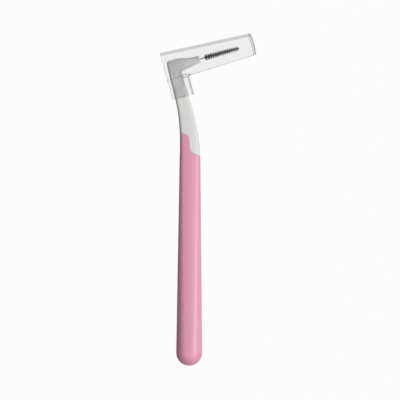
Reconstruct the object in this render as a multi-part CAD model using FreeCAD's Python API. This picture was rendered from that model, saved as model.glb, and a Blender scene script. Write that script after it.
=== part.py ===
"""A long-handled, angled interdental brush with its clear protective cap, in millimetres.

The brush lies on its side. X runs along the brush towards its tip, Y runs up the neck towards the head,
and Z is up from the surface that it lies on. The pieces are drawn about the point where the axis of the
brush crosses the axis of the neck, and are then moved so that the origin is the middle of the assembly's
box, on the surface.
"""

import FreeCAD
import Part

import math
import os

Vector = FreeCAD.Vector
UP = Vector(0, 0, 1)
ALONG = Vector(1, 0, 0)
HAIR = 1e-6

# Handle, measured along its middle line from the round end
handle_straight = 95.0
bend_angle = math.radians(15.75)
bend_radius = 100.0
neck_straight = 15.0
taper_lead = 5.0
taper_tail = 3.5
grip_end_width = 12.1
grip_top_width = 9.65
grip_top_depth = 7.0
grip_edge_radius = 3.0
grip_crown_radius = 25.0
side_flat = 0.4
neck_width = 6.2
neck_depth = 5.0
neck_edge_radius = 1.3
neck_back_lean = 0.45
bend_stations = 10

# Seam between the soft grip and the hard core, an S across the handle
seam_middle = 101.0
seam_step = 7.44
seam_lean = 0.4
seam_slope = 0.49
seam_radius = 2.6

# Tang of the core inside the grip
grip_wall = 2.2
tang_end = 12.0
window_count = 3
window_length = 10.0
window_width = 2.4
window_corner_radius = 0.9

# Angled head, measured from the crossing of the two axes
head_top = 3.05
head_under = 3.2
head_corner_radius = 1.6
head_stations = 5
head_end_round = 0.97
barrel_diameter = 3.7
barrel_length = 3.6
barrel_end = 12.6
barrel_shoulder = 0.08
barrel_nose_length = 0.7
barrel_nose_drop = 0.45

# Twisted wire and its filaments
wire_diameter = 0.15
wire_sides = 4
wire_embed = 3.0
wire_fit = 0.03
wire_tip_bare = 0.35
twist_pitch = 1.9
bare_wire = 2.2
filament_field = 16.2
filament_count = 100
filament_thickness = 0.06
filament_fit = 0.008
brush_base_diameter = 3.0
brush_tip_diameter = 2.4

# Protective cap: a tapering box over the head and brush, with a channel below it that rides on the neck
cap_wall = 0.9
cap_step = 0.65
cap_corner_radius = 1.2
cap_edge_radius = 0.7
cap_end_bulge = 0.4
cap_end_round = 0.6
cap_back_reach = 1.3
cap_tip_gap = 5.8
mouth_roof_gap = 3.6
mouth_floor_gap = 2.25
tip_roof_gap = 3.1
tip_floor_gap = 2.7
channel_drop = 8.6
channel_side_gap = 1.75
channel_fit = 0.2
seat_fit = 0.15

# Places along the handle
bend_length = bend_radius * bend_angle
bend_top = handle_straight + bend_length
taper_start = handle_straight - taper_lead
taper_end = bend_top + taper_tail
butt_radius = grip_end_width / 2
crossing = bend_top + neck_straight

# Places along the brush
stem_radius = wire_diameter + filament_thickness / 2 + filament_fit
leg_radius = stem_radius - wire_diameter / 2
field_start = barrel_end + bare_wire
field_end = field_start + filament_field
wire_tip = field_end + wire_tip_bare
wire_tail = barrel_end - wire_embed


def smooth(share):
    """A gentle start and stop between 0 and 1."""
    held = min(max(share, 0.0), 1.0)
    return held * held * (3 - 2 * held)


def along_handle(station, end_value, top_value, neck_value):
    """A size that changes evenly up the grip, and then eases into the neck."""
    slope = (top_value - end_value) / (taper_start - butt_radius)
    if station <= taper_start:
        return top_value + slope * (station - taper_start)
    share = min((station - taper_start) / (taper_end - taper_start), 1)
    run_on = slope * (taper_end - taper_start) * share * (1 - share) ** 2
    return top_value + run_on + (neck_value - top_value) * smooth(share)


def handle_place(station):
    """The point on the handle's middle line, and the direction across it."""
    if station >= bend_top:
        return Vector(0, station - crossing, 0), Vector(1, 0, 0)
    turn = min((bend_top - station) / bend_radius, bend_angle)
    across = Vector(math.cos(turn), -math.sin(turn), 0)
    upward = Vector(math.sin(turn), math.cos(turn), 0)
    centre = Vector(-bend_radius, -neck_straight, 0)
    return centre + across * bend_radius - upward * max(handle_straight - station, 0), across


def handle_point(station, rise, offset):
    """A point in the handle's plane, so far up from a station and so far across."""
    middle, across = handle_place(station)
    return middle + UP.cross(across) * rise + across * offset


# The cap takes its depth from the neck that it rides on, and the grip's thick end lies level with the cap
mouth_floor = head_under + mouth_floor_gap + cap_wall
channel_bottom = mouth_floor + channel_drop
channel_station = crossing - channel_bottom
neck_depth_in_channel = along_handle(channel_station, grip_top_depth, grip_top_depth, neck_depth)
channel_depth = neck_depth_in_channel + 2 * channel_fit
cap_depth = channel_depth + 2 * cap_wall + 2 * cap_step
grip_end_depth = cap_depth


def line(start, end):
    return Part.LineSegment(start, end).toShape()


def arc(start, middle, end):
    return Part.Arc(start, middle, end).toShape()


def rounded_outline(corners, place):
    """A closed outline of straight runs, with each corner (a, b, radius) rounded."""
    rounds = []
    for index, (a, b, radius) in enumerate(corners):
        before = corners[index - 1]
        after = corners[(index + 1) % len(corners)]
        here = Vector(a, b, 0)
        to_before = (Vector(before[0], before[1], 0) - here).normalize()
        to_after = (Vector(after[0], after[1], 0) - here).normalize()
        half_angle = to_before.getAngle(to_after) / 2
        run = radius / math.tan(half_angle)
        rise = radius / math.sin(half_angle) - radius
        inward = (to_before + to_after).normalize()
        points = [here + to_before * run, here + inward * rise, here + to_after * run]
        rounds.append((radius, [place(point.x, point.y) for point in points]))
    edges = []
    for index, (radius, points) in enumerate(rounds):
        if radius:
            edges.append(arc(*points))
        edges.append(line(points[2], rounds[(index + 1) % len(rounds)][1][0]))
    return Part.Wire(edges)


def prism(outline, travel):
    return Part.Face(outline).extrude(travel)


def widest_edge(width, depth, crown):
    """The largest edge radius that leaves the sides of a section flat."""
    if crown < HAIR:
        return (depth - side_flat) / 2
    crown_radius = 1 / crown
    flat_rise = crown_radius - (depth - side_flat) / 2
    return (crown_radius ** 2 - width ** 2 / 4 - flat_rise ** 2) / (2 * crown_radius - width)


def rounded_section(middle, across, width, depth, full_edge, crown):
    """A section with crowned front and back, flat sides and rounded edges; crown is a curvature."""
    edge_radius = min(full_edge, widest_edge(width, depth, crown))
    side = width / 2 - edge_radius
    if crown < HAIR:
        edge_height = depth / 2 - edge_radius
        edge_angle = math.pi / 2
    else:
        crown_drop = depth / 2 - 1 / crown
        edge_rise = math.sqrt((1 / crown - edge_radius) ** 2 - side ** 2)
        edge_height = crown_drop + edge_rise
        edge_angle = math.atan2(edge_rise, side)

    def at(a, z):
        return middle + across * a + UP * z

    def on_edge(angle, a_sign, z_sign):
        a = side + edge_radius * math.cos(angle)
        z = edge_height + edge_radius * math.sin(angle)
        return at(a * a_sign, z * z_sign)

    edges = []
    for a_sign, z_sign in ((1, 1), (-1, 1), (-1, -1), (1, -1)):
        angles = [0, edge_angle / 2, edge_angle]
        if a_sign * z_sign < 0:
            angles.reverse()
        edges.append(arc(*[on_edge(angle, a_sign, z_sign) for angle in angles]))
        if a_sign * z_sign < 0:
            edges.append(line(on_edge(0, a_sign, z_sign), on_edge(0, a_sign, -z_sign)))
        elif crown < HAIR:
            edges.append(line(on_edge(edge_angle, a_sign, z_sign), on_edge(edge_angle, -a_sign, z_sign)))
        else:
            far = on_edge(edge_angle, -a_sign, z_sign)
            edges.append(arc(on_edge(edge_angle, a_sign, z_sign), at(0, z_sign * depth / 2), far))
    return Part.Wire(edges)


def handle_section(station):
    """The handle's outer section at a station."""
    middle, across = handle_place(station)
    width = along_handle(station, grip_end_width, grip_top_width, neck_width)
    depth = along_handle(station, grip_end_depth, grip_top_depth, neck_depth)
    edge_radius = along_handle(station, grip_edge_radius, grip_edge_radius, neck_edge_radius)
    crown = along_handle(station, 1 / grip_crown_radius, 1 / grip_crown_radius, 0)
    return rounded_section(middle, across, width, depth, edge_radius, crown)


def evenly(first, last, count):
    return [first + (last - first) * index / (count - 1) for index in range(count)]


def neck_top_section():
    """The neck's section at the brush axis, where its back has leaned forward a little."""
    middle = Vector(neck_back_lean / 2, 0, 0)
    width = neck_width - neck_back_lean
    return rounded_section(middle, ALONG, width, neck_depth, neck_edge_radius, 0)


def handle_form():
    """The whole handle and neck, up to the brush axis, with its round end."""
    stations = [butt_radius] + evenly(taper_start, taper_end, bend_stations)
    sections = [handle_section(station) for station in stations] + [neck_top_section()]
    shaft = Part.makeLoft(sections, True, True)
    middle, across = handle_place(butt_radius)
    half_plane = prism(
        rounded_outline(
            [(0, -grip_end_depth, 0), (grip_end_width, -grip_end_depth, 0),
             (grip_end_width, grip_end_depth, 0), (0, grip_end_depth, 0)],
            lambda a, z: middle + across * a + UP * z,
        ),
        UP.cross(across) * grip_end_width,
    )
    half_face = Part.Face(handle_section(butt_radius)).common(half_plane)
    butt = half_face.Faces[0].revolve(middle, UP, -180)
    return shaft.fuse(butt)


def seam_tool():
    """Everything below the S-shaped seam."""
    reach = grip_end_width
    half_step = seam_step / 2
    half_lean = seam_lean / 2
    below = -seam_middle - reach
    corners = [
        (half_step + seam_slope * reach, -half_lean - reach, 0),
        (half_step, -half_lean, seam_radius),
        (-half_step, half_lean, seam_radius),
        (-half_step - seam_slope * reach, half_lean + reach, 0),
        (below, half_lean + reach, 0),
        (below, -half_lean - reach, 0),
    ]
    outline = rounded_outline(corners, lambda s, t: handle_point(seam_middle, s, t) - UP * grip_end_depth)
    return prism(outline, UP * 2 * grip_end_depth)


def tang():
    """The core's flat stem inside the grip, with windows that lock the grip to it."""
    tang_top = seam_middle + seam_step / 2 + grip_wall
    tang_depth = grip_top_depth - 2 * grip_wall
    right = []
    left = []
    for station in (tang_end, taper_start, tang_top):
        middle, across = handle_place(station)
        width = along_handle(station, grip_end_width, grip_top_width, neck_width)
        side = across * (width / 2 - grip_wall)
        right.append(middle + side - UP * tang_depth / 2)
        left.append(middle - side - UP * tang_depth / 2)
    around = right + left[::-1]
    stem = prism(Part.makePolygon(around + around[:1]), UP * tang_depth)
    pitch = (taper_start - tang_end) / window_count
    for index in range(window_count):
        station = tang_end + pitch * (index + 0.5)
        reach = window_length / 2
        side = window_width / 2
        corners = [
            (-reach, -side, window_corner_radius),
            (reach, -side, window_corner_radius),
            (reach, side, window_corner_radius),
            (-reach, side, window_corner_radius),
        ]
        outline = rounded_outline(corners, lambda s, t: handle_point(station, s, t) - UP * grip_end_depth)
        stem = stem.cut(prism(outline, UP * 2 * grip_end_depth))
    return stem


def knuckle():
    """The block at the top of the neck, where it turns into the head."""
    side = neck_width / 2
    back = neck_back_lean - side
    corners = [(back, 0, 0), (side, 0, 0), (side, head_top, 0), (back, head_top, head_corner_radius)]
    block = prism(rounded_outline(corners, lambda x, y: Vector(x, y, -neck_depth / 2)), UP * neck_depth)

    def is_outer(edge):
        box = edge.BoundBox
        return box.ZLength < HAIR and box.XMin < side - HAIR and box.YMax > HAIR

    return block.makeFillet(neck_edge_radius, [edge for edge in block.Edges if is_outer(edge)])


def head():
    """The head from the knuckle to the barrel, narrowing from the neck's section to a round one."""
    side = neck_width / 2
    root = barrel_end - barrel_length
    radius = barrel_diameter / 2 + barrel_shoulder
    sections = []
    for x in [0] + evenly(side, root, head_stations):
        share = smooth((x - side) / (root - side))
        top = head_top + (radius - head_top) * share
        under = head_under + (radius - head_under) * share
        depth = neck_depth + (2 * radius - neck_depth) * share
        edge_radius = neck_edge_radius + (head_end_round * radius - neck_edge_radius) * share
        middle = Vector(x, (top - under) / 2, 0)
        sections.append(rounded_section(middle, Vector(0, 1, 0), top + under, depth, edge_radius, 0))
    return Part.makeLoft(sections, True, True)


def barrel():
    """The round end of the head, which holds the wire."""
    root = barrel_end - barrel_length
    radius = barrel_diameter / 2
    profile = [
        Vector(root, 0, 0),
        Vector(barrel_end, 0, 0),
        Vector(barrel_end, radius - barrel_nose_drop, 0),
        Vector(barrel_end - barrel_nose_length, radius, 0),
        Vector(root, radius, 0),
        Vector(root, 0, 0),
    ]
    return Part.Face(Part.makePolygon(profile)).revolve(Vector(), ALONG, 360)


def wire_bore():
    """The hole in the barrel that the wire's tail is moulded into."""
    tail = Vector(wire_tail - wire_fit, 0, 0)
    return Part.makeCylinder(stem_radius + wire_fit, wire_embed + wire_fit, tail, ALONG)


def handle_core(form, stem):
    hard = form.cut(seam_tool())
    return hard.fuse([stem, knuckle(), head(), barrel()]).cut(wire_bore())


def grip_sleeve(form, stem):
    return form.common(seam_tool()).cut(stem)


# The twist: whole quarter turns between the tail and the fold
twist_end = wire_tip - stem_radius
twist_quarters = round(4 * (twist_end - wire_tail) / twist_pitch)
twist_rate = twist_quarters * math.pi / 2 / (twist_end - wire_tail)


def leg_point(x, phase):
    angle = twist_rate * (x - wire_tail) + phase
    return Vector(x, leg_radius * math.cos(angle), leg_radius * math.sin(angle))


def leg_direction(x, phase):
    angle = twist_rate * (x - wire_tail) + phase
    side = leg_radius * twist_rate
    return Vector(1, -side * math.sin(angle), side * math.cos(angle)).normalize()


def tangent_arc(start, direction, end):
    """The arc that leaves a point in a direction and ends at another point."""
    chord = end - start
    along = Vector(chord).normalize()
    turn = direction.getAngle(along)
    aside = (direction - along * direction.dot(along)).normalize()
    return arc(start, (start + end) / 2 + aside * chord.Length / 2 * math.tan(turn / 2), end)


def biarc(start, start_direction, end, end_direction):
    """Two tangent arcs between two points with given directions."""
    chord = end - start
    both = start_direction + end_direction
    bend = 2 * (1 - start_direction.dot(end_direction))
    reach = (math.sqrt(chord.dot(both) ** 2 + bend * chord.dot(chord)) - chord.dot(both)) / bend
    joint = (start + end + (start_direction - end_direction) * reach) / 2
    first = tangent_arc(start, start_direction, joint)
    second = tangent_arc(end, end_direction * -1, joint)
    return [first, second]


def leg_path(phase):
    """One leg from its tail to the fold, a quarter turn at a time, straightening at the fold."""
    edges = []
    places = evenly(wire_tail, twist_end, twist_quarters + 1)
    for index in range(twist_quarters):
        low = places[index]
        high = places[index + 1]
        at_fold = index == twist_quarters - 1
        high_direction = ALONG if at_fold else leg_direction(high, phase)
        low_direction = leg_direction(low, phase)
        edges += biarc(leg_point(low, phase), low_direction, leg_point(high, phase), high_direction)
    return edges


def wire_stem():
    """One wire, folded double at the tip of the brush and twisted."""
    fold = arc(leg_point(twist_end, 0), Vector(twist_end + leg_radius, 0, 0), leg_point(twist_end, math.pi))
    path = Part.Wire(Part.__sortEdges__(leg_path(0) + [fold] + leg_path(math.pi)))
    tail = leg_point(wire_tail, 0)
    direction = leg_direction(wire_tail, 0)
    outward = Vector(0, 1, 0)
    sideways = direction.cross(outward).normalize()
    corners = []
    for index in range(wire_sides + 1):
        angle = 2 * math.pi * index / wire_sides
        corners.append(tail + (outward * math.cos(angle) + sideways * math.sin(angle)) * wire_diameter / 2)
    return path.makePipeShell([Part.makePolygon(corners)], True, False)


def filaments():
    """Filaments that pass between the two legs, each turned with the twist."""
    rods = []
    for x in evenly(field_start, field_end, filament_count):
        share = (x - field_start) / filament_field
        length = brush_base_diameter + (brush_tip_diameter - brush_base_diameter) * share
        half = filament_thickness / 2
        corner = Vector(-half, -half, -length / 2)
        rod = Part.makeBox(filament_thickness, filament_thickness, length, corner)
        rod.rotate(Vector(), ALONG, math.degrees(twist_rate * (x - wire_tail)))
        rod.translate(Vector(x, 0, 0))
        rods.append(rod)
    return Part.makeCompound(rods)


# The cap's box, measured from the brush axis
cap_left = -neck_width / 2 - cap_back_reach
cap_right = wire_tip + cap_tip_gap + cap_wall
mouth_roof = head_top + mouth_roof_gap + cap_wall
tip_roof = brush_tip_diameter / 2 + tip_roof_gap + cap_wall
tip_floor = brush_tip_diameter / 2 + tip_floor_gap + cap_wall
channel_right = neck_width / 2 + channel_side_gap + cap_wall


def cap_box(inset, depth, corner_radius):
    """The tapering box, from its open left end to its bulged right end, or the space inside it."""
    right = cap_right - inset - cap_end_bulge
    half_end = (tip_roof + tip_floor) / 2 - inset
    peak = cap_end_bulge / (1 - cap_end_round / 2)
    end_radius = cap_end_round * math.hypot(half_end, peak) * half_end / peak
    corners = [
        (cap_left, inset - mouth_floor, 0),
        (right, inset - tip_floor, corner_radius),
        (right + peak, (tip_roof - tip_floor) / 2, end_radius),
        (right, tip_roof - inset, corner_radius),
        (cap_left, mouth_roof - inset, 0),
    ]
    return prism(rounded_outline(corners, lambda x, y: Vector(x, y, -depth / 2)), UP * depth)


def channel_bar(right, depth, edge_radius, top):
    """A bar round the neck, from the channel's lower end up to a given height."""
    corners = [
        (cap_left, -depth / 2, 0),
        (right, -depth / 2, edge_radius),
        (right, depth / 2, edge_radius),
        (cap_left, depth / 2, 0),
    ]
    outline = rounded_outline(corners, lambda x, z: Vector(x, -channel_bottom, z))
    return prism(outline, Vector(0, channel_bottom + top, 0))


def protective_cap():
    outer = cap_box(0, cap_depth, cap_corner_radius)

    def is_long_edge(edge):
        box = edge.BoundBox
        is_level = box.ZLength < HAIR and box.XLength + box.YLength > HAIR
        return is_level and box.XMax > cap_left + HAIR

    outer = outer.makeFillet(cap_edge_radius, [edge for edge in outer.Edges if is_long_edge(edge)])
    space = cap_box(cap_wall, cap_depth - 2 * cap_wall, cap_corner_radius - cap_wall)
    floor_share = (channel_right - cap_left) / (cap_right - cap_left)
    channel_top = -(mouth_floor + (tip_floor - mouth_floor) * floor_share) + cap_wall / 2
    sheath = channel_bar(channel_right, channel_depth + 2 * cap_wall, cap_edge_radius, channel_top)
    slot = channel_bar(channel_right - cap_wall, channel_depth, 0, channel_top)
    box = outer.cut(space)
    notch = channel_bar(neck_width / 2 + seat_fit, channel_depth, 0, 0)
    return box.fuse(sheath.cut([slot, space])).cut(notch)


def assembly_origin():
    """The middle of the assembly's box, on the surface that it lies on."""
    butt, across = handle_place(butt_radius)
    low = Vector(butt.x - butt_radius, butt.y - butt_radius, 0)
    high = Vector(cap_right, mouth_roof, 0)
    return (low + high) / 2 - UP * cap_depth / 2


def main():
    form = handle_form()
    stem = tang()
    pieces = {
        "handle_core": handle_core(form, stem),
        "grip_sleeve": grip_sleeve(form, stem),
        "wire_stem": wire_stem(),
        "filaments": filaments(),
        "protective_cap": protective_cap(),
    }
    origin = assembly_origin()
    os.makedirs("parts", exist_ok=True)
    for name, shape in pieces.items():
        placed = shape.copy()
        placed.translate(origin * -1)
        placed.exportStep(os.path.join("parts", name + ".step"))
        solids = len(placed.Solids)
        box = placed.BoundBox
        print(name, solids, "solids", placed.isValid(), round(placed.Volume, 3), "mm3", box)


main()
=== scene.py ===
"""Looks of a long-handled, angled interdental brush that lies on a pale surface with its clear cap on."""

import math
import random

import bmesh
import bpy
from mathutils import Matrix, Vector


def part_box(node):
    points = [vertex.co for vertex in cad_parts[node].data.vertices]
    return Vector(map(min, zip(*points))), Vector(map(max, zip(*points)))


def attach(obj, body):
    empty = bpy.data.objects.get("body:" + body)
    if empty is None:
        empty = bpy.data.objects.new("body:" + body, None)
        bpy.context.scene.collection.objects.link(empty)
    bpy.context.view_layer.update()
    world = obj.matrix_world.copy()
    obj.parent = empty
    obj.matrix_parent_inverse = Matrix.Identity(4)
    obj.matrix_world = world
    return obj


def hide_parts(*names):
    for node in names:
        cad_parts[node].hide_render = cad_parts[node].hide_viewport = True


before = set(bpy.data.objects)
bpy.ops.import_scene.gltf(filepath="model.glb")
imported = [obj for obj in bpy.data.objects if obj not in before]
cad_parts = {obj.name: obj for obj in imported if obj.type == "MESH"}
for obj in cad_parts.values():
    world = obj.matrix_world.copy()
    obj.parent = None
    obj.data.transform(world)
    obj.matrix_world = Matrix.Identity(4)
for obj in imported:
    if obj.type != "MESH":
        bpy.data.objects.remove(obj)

bl_info = {
    "name": "Interdental Brush",
    "version": (1, 0, 0),
    "blender": (4, 5, 0),
    "location": "View3D > Sidebar > Brush",
    "description": "Builds the grip, core, twisted wire, filaments and clear cap of an interdental brush",
    "category": "Add Mesh",
}

MM = 0.001
UP = Vector((0, 0, 1))
WHITE = (1.0, 1.0, 1.0, 1.0)
# Places that are nearer to each other than this count as one
HAIR = 1e-7
# Less curvature than this, as one over a radius in metres, counts as flat
FLAT = 1e-3

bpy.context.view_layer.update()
core_low, core_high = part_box("handle_core")
wire_low, wire_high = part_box("wire_stem")
cap_low, cap_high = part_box("protective_cap")


def length(name, default, description):
    """A size in metres, given in millimetres."""
    return bpy.props.FloatProperty(
        name=name, description=description, default=default * MM, min=0.0, precision=5, unit="LENGTH"
    )


def place(name, default, description):
    """A place in metres, given in millimetres."""
    return bpy.props.FloatVectorProperty(
        name=name, description=description, default=[part * MM for part in default],
        size=3, precision=5, unit="LENGTH",
    )


def angle(name, default, description):
    """An angle in radians, given in degrees."""
    return bpy.props.FloatProperty(
        name=name, description=description, default=math.radians(default), subtype="ANGLE"
    )


def colour(name, default, description):
    """A linear colour."""
    return bpy.props.FloatVectorProperty(
        name=name, description=description, default=default, size=3, min=0.0, max=1.0, subtype="COLOR"
    )


def share(name, default, description):
    """A number without a unit."""
    return bpy.props.FloatProperty(name=name, description=description, default=default)


def count(name, default, description):
    """A whole number of repeats."""
    return bpy.props.IntProperty(name=name, description=description, default=default, min=1)


class HandleSettings(bpy.types.PropertyGroup):
    """Sizes and colours of the grip and the core, measured along the handle from its round end."""

    straight: length("Straight length", 95.0, "Length of the handle below its bend")
    bend_angle: angle("Bend", 15.75, "Angle between the grip and the neck")
    bend_radius: length("Bend radius", 100.0, "Radius of the bend at the middle line")
    neck_straight: length("Neck", 15.0, "From the end of the bend to the axis of the brush")
    taper_lead: length("Taper lead", 1.5, "How far before the bend the grip starts to slim")
    taper_tail: length("Taper tail", 3.5, "How far past the bend the neck reaches its own size")
    end_width: length("End width", 11.9, "Width of the grip at its round end")
    end_depth: length("End depth", 8.55, "Depth of the grip at its round end")
    top_width: length("Top width", 9.5, "Width of the grip where it starts to slim")
    top_depth: length("Top depth", 7.0, "Depth of the grip where it starts to slim")
    end_edge: length("End edge radius", 4.1, "Rounding of the grip's long edges at its round end")
    top_edge: length("Top edge radius", 1.7, "Rounding of the grip's long edges where it starts to slim")
    edge_facet: share("Edge facet", 1.2, "Form of the grip's long edges: 1 is round and 2 is a chamfer")
    crown_radius: length("Crown radius", 25.0, "Radius of the grip's bulged front and back")
    neck_width: length("Neck width", 6.2, "Width of the neck")
    neck_depth: length("Neck depth", 5.0, "Depth of the neck")
    neck_edge: length("Neck edge", 1.3, "Rounding of the neck's long edges")
    neck_lean: length("Neck lean", 0.45, "How far the back of the neck leans in at the brush axis")
    seam_middle: length("Seam", 101.3, "Station of the middle of the seam")
    seam_step: length("Seam step", 7.44, "Height of the S in the seam")
    seam_lean: length("Seam lean", 0.4, "Width of the S's steep run")
    seam_radius: length("Seam radius", 2.6, "Rounding of the S's two corners")
    seam_slope: share("Seam slope", 0.49, "Slope of the seam beside the S")
    seam_groove: length("Seam groove", 0.18, "Depth of the fine groove along the seam")
    seam_lip: length("Seam lip", 0.3, "Width of the groove on each side of the seam")
    seam_fade: length("Seam fade", 26.0, "How far from the seam the mesh still follows its S")
    grip_colour: colour("Grip", (0.745, 0.318, 0.453), "Colour of the soft grip")
    core_colour: colour("Core", (0.71, 0.71, 0.695), "Colour of the hard core")


class HeadSettings(bpy.types.PropertyGroup):
    """Sizes of the angled head, measured from the crossing of the neck and the brush."""

    top: length("Top", 3.05, "From the brush axis up to the top of the head")
    under: length("Under", 3.2, "From the brush axis down to the inner corner")
    corner_radius: length("Corner radius", 1.6, "Rounding of the outer corner")
    inner_radius: length("Inner radius", 0.5, "Rounding of the inner corner")
    crown_radius: length("Crown radius", 12.0, "Radius of the head's bulged front and back")
    under_end: length("Underside end", 11.4, "Where the straight underside meets the barrel")
    barrel_root: length("Barrel root", 9.0, "Where the barrel starts")
    barrel_end: length("Barrel end", 12.6, "Where the barrel ends")
    barrel_radius: length("Barrel radius", 1.7, "Radius of the round end that holds the wire")
    barrel_edge: share("Barrel edge", 0.9, "Rounding of the barrel's section, as a share of its radius")
    shoulder: length("Shoulder", 0.08, "Step from the head down to the barrel")
    shoulder_run: length("Shoulder run", 0.05, "Length of each of the two stages of that step")
    shoulder_ease: share("Shoulder ease", 0.7, "Share of the step that is left after its first stage")
    nose_length: length("Nose length", 0.7, "Length of the rounding at the barrel's end")
    nose_drop: length("Nose drop", 0.45, "How much the barrel slims at its end")
    hole_gap: length("Hole gap", 0.03, "Gap round the wire where it leaves the barrel")
    hole_flare: length("Hole flare", 0.12, "How much wider the hole is at the barrel's end")
    hole_lead: length("Hole lead", 0.06, "Depth of that flare")
    hole_depth: length("Hole depth", 0.8, "Depth of the hole round the wire")


class BrushSettings(bpy.types.PropertyGroup):
    """Sizes and colours of the twisted wire and its filaments."""

    wire_diameter: length("Wire", 0.24, "Diameter of the wire")
    leg_radius: length("Leg radius", 0.14, "From the brush axis to the middle of each leg")
    pitch: length("Pitch", 2.2, "Length of one turn of the twist")
    embed: length("Embedded length", 3.0, "Length of the wire inside the barrel")
    bare: length("Bare wire", 2.2, "Length of wire between the barrel and the filaments")
    field: length("Filament field", 16.2, "Length of the filament part")
    tip: length("Bare tip", 0.35, "Length of wire past the filaments")
    base_diameter: length("Base diameter", 3.0, "Diameter of the brush at its base")
    tip_diameter: length("Tip diameter", 2.4, "Diameter of the brush at its tip")
    filament: length("Filament", 0.07, "Thickness of a filament")
    filaments: count("Filaments", 600, "How many filaments pass through the twist")
    wire_colour: colour("Wire colour", (0.05, 0.05, 0.054), "Colour of the steel")
    filament_colour: colour("Filament colour", (0.008, 0.008, 0.009), "Colour of the nylon")


class CapSettings(bpy.types.PropertyGroup):
    """Sizes, finish and painted shade of the clear cap, measured from the crossing of the neck and the
    brush.
    """

    wall: length("Wall", 0.9, "Thickness of the walls")
    roof_wall: length("Roof wall", 1.4, "Thickness of the roof wall")
    end_wall: length("End wall", 1.3, "Thickness of the closed end")
    left: length("Back reach", 4.4, "From the crossing to the open end")
    right: length("Tip reach", 38.35, "From the crossing to the closed end")
    mouth_roof: length("Mouth roof", 7.55, "Height of the roof at the open end")
    mouth_floor: length("Mouth floor", 6.45, "Depth of the floor at the open end")
    tip_roof: length("Tip roof", 5.2, "Height of the roof at the closed end")
    tip_floor: length("Tip floor", 5.0, "Depth of the floor at the closed end")
    bulge: length("End bulge", 0.4, "How far the closed end bulges")
    corner_radius: length("Corner radius", 0.6, "Rounding of the closed end's corners")
    edge_radius: length("Edge radius", 0.3, "Rounding of the long outer edges")
    channel_drop: length("Channel", 8.4, "How far the channel reaches down the neck")
    channel_right: length("Channel side", 5.75, "From the crossing to the channel's outer side")
    channel_depth: length("Channel depth", 5.45, "Inner depth of the channel")
    seat: length("Seat", 3.25, "From the crossing to the lip beside the neck")
    soft_edge: length("Soft edge", 0.1, "Rounding of every other edge")
    tint: colour("Tint", (0.995, 0.997, 1.0), "Tint of the clear plastic's surface")
    # Painted shade: the thick roof wall is drawn grey, stopping short of the clear skin on top of it
    painted_roof_shade: colour("Roof tint", (0.66, 0.66, 0.655), "Tint of the thick roof wall")
    roof_skin: length("Roof skin", 0.2, "Clear skin over the tint of the roof wall")
    # Painted shade lines where the cap's walls are seen edge on: their colour, and their width and strength
    # at each wall
    painted_edge_shade: colour("End tint", (0.36, 0.36, 0.37), "Tint of a line where a wall is seen edge on")
    edge_line: length("Edge line", 0.32, "Width of such a line")
    end_outer: share("End outer line", 2.0, "Width of the line at the closed end's skin, in edge lines")
    end_inner: share("End inner line", 0.8, "Strength of the line at the closed end's inner face")
    flank_outer: share("Flank outer line", 1.6, "Width of the line at the channel's skin, in edge lines")
    flank_inner: share("Flank inner line", 0.5, "Strength of the line at the channel's inner face")
    floor_width: share("Floor line width", 1.8, "Width of the line along the floor, in edge lines")
    floor_strength: share("Floor line", 0.45, "Strength of the line along the floor")
    mouth_strength: share("Mouth line", 0.2, "Strength of the line at the open end")


class StageSettings(bpy.types.PropertyGroup):
    """The floor, the lights and the camera; a light's place is along the picture's right, up and depth."""

    picture_turn: angle("Picture turn", 15.5, "Angle from the brush axis up to the picture's right")
    key_power: share("Key", 9.5, "Power of the soft light at the right, in watts")
    key_size: length("Key size", 620.0, "Side of that light")
    key_place: place("Key place", (480.0, -100.0, 800.0), "Place of that light")
    top_power: share("Top", 0.8, "Power of the soft light above, in watts")
    top_size: length("Top size", 500.0, "Side of that light")
    top_place: place("Top place", (100.0, 600.0, 600.0), "Place of that light")
    sky: share("Sky", 0.06, "Strength of the light from all round")
    sky_colour: colour("Sky colour", (1.0, 0.92, 0.88), "Colour of the light from all round")
    sky_even: share("Even sky", 0.62, "Share of that light that comes from every side alike")
    sky_side: share("Sideways sky", 0.6, "Share of it that comes from the picture's right")
    sky_drop: share("Sky drop", 0.35, "How far that side turns to the picture's lower edge")
    sky_least: share("Least sky", 0.04, "Strength of the light from the darkest side")
    overhead_dim: share("Overhead", 0.95, "Share of the seen white that is missing overhead")
    overhead_low: share("Overhead low", 0.35, "Height in the sky at which it starts to fade")
    overhead_high: share("Overhead high", 0.75, "Height in the sky at which it has faded")
    floor_reach: length("Floor reach", 4000.0, "From the middle of the floor to its sides")
    floor_drop: length("Floor drop", 0.2, "Gap between the object and the floor")
    floor_dark: colour("Floor dark", (0.21, 0.195, 0.19), "Colour of the floor's darker patches")
    floor_light: colour("Floor light", (0.25, 0.235, 0.23), "Colour of the floor's lighter patches")
    floor_white: share("Floor white", 0.975, "Share of the floor's own white in what is seen")
    camera_aim: place("Camera aim", (-6.58, 1.11, 4.276), "Place that the camera looks at")
    camera_height: length("Camera distance", 2500.0, "From that place up to the camera")
    picture_width: length("Picture width", 182.65, "Width of what the camera sees")


class Value:
    """A shader socket that is worked with as a number: each operator adds one Math node."""

    def __init__(self, finish, socket):
        self.finish = finish
        self.socket = socket

    def work_out(self, operation, first, second):
        """The result of one Math node."""
        return self.finish.node("ShaderNodeMath", {"operation": operation}, {0: first, 1: second})

    def __add__(self, other):
        return self.work_out("ADD", self, other)

    def __radd__(self, other):
        return self.work_out("ADD", other, self)

    def __sub__(self, other):
        return self.work_out("SUBTRACT", self, other)

    def __rsub__(self, other):
        return self.work_out("SUBTRACT", other, self)

    def __mul__(self, other):
        return self.work_out("MULTIPLY", self, other)

    def __rmul__(self, other):
        return self.work_out("MULTIPLY", other, self)

    def at_most(self, other):
        """The lesser of two values."""
        return self.work_out("MINIMUM", self, other)

    def at_least(self, other):
        """The greater of two values."""
        return self.work_out("MAXIMUM", self, other)


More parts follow.
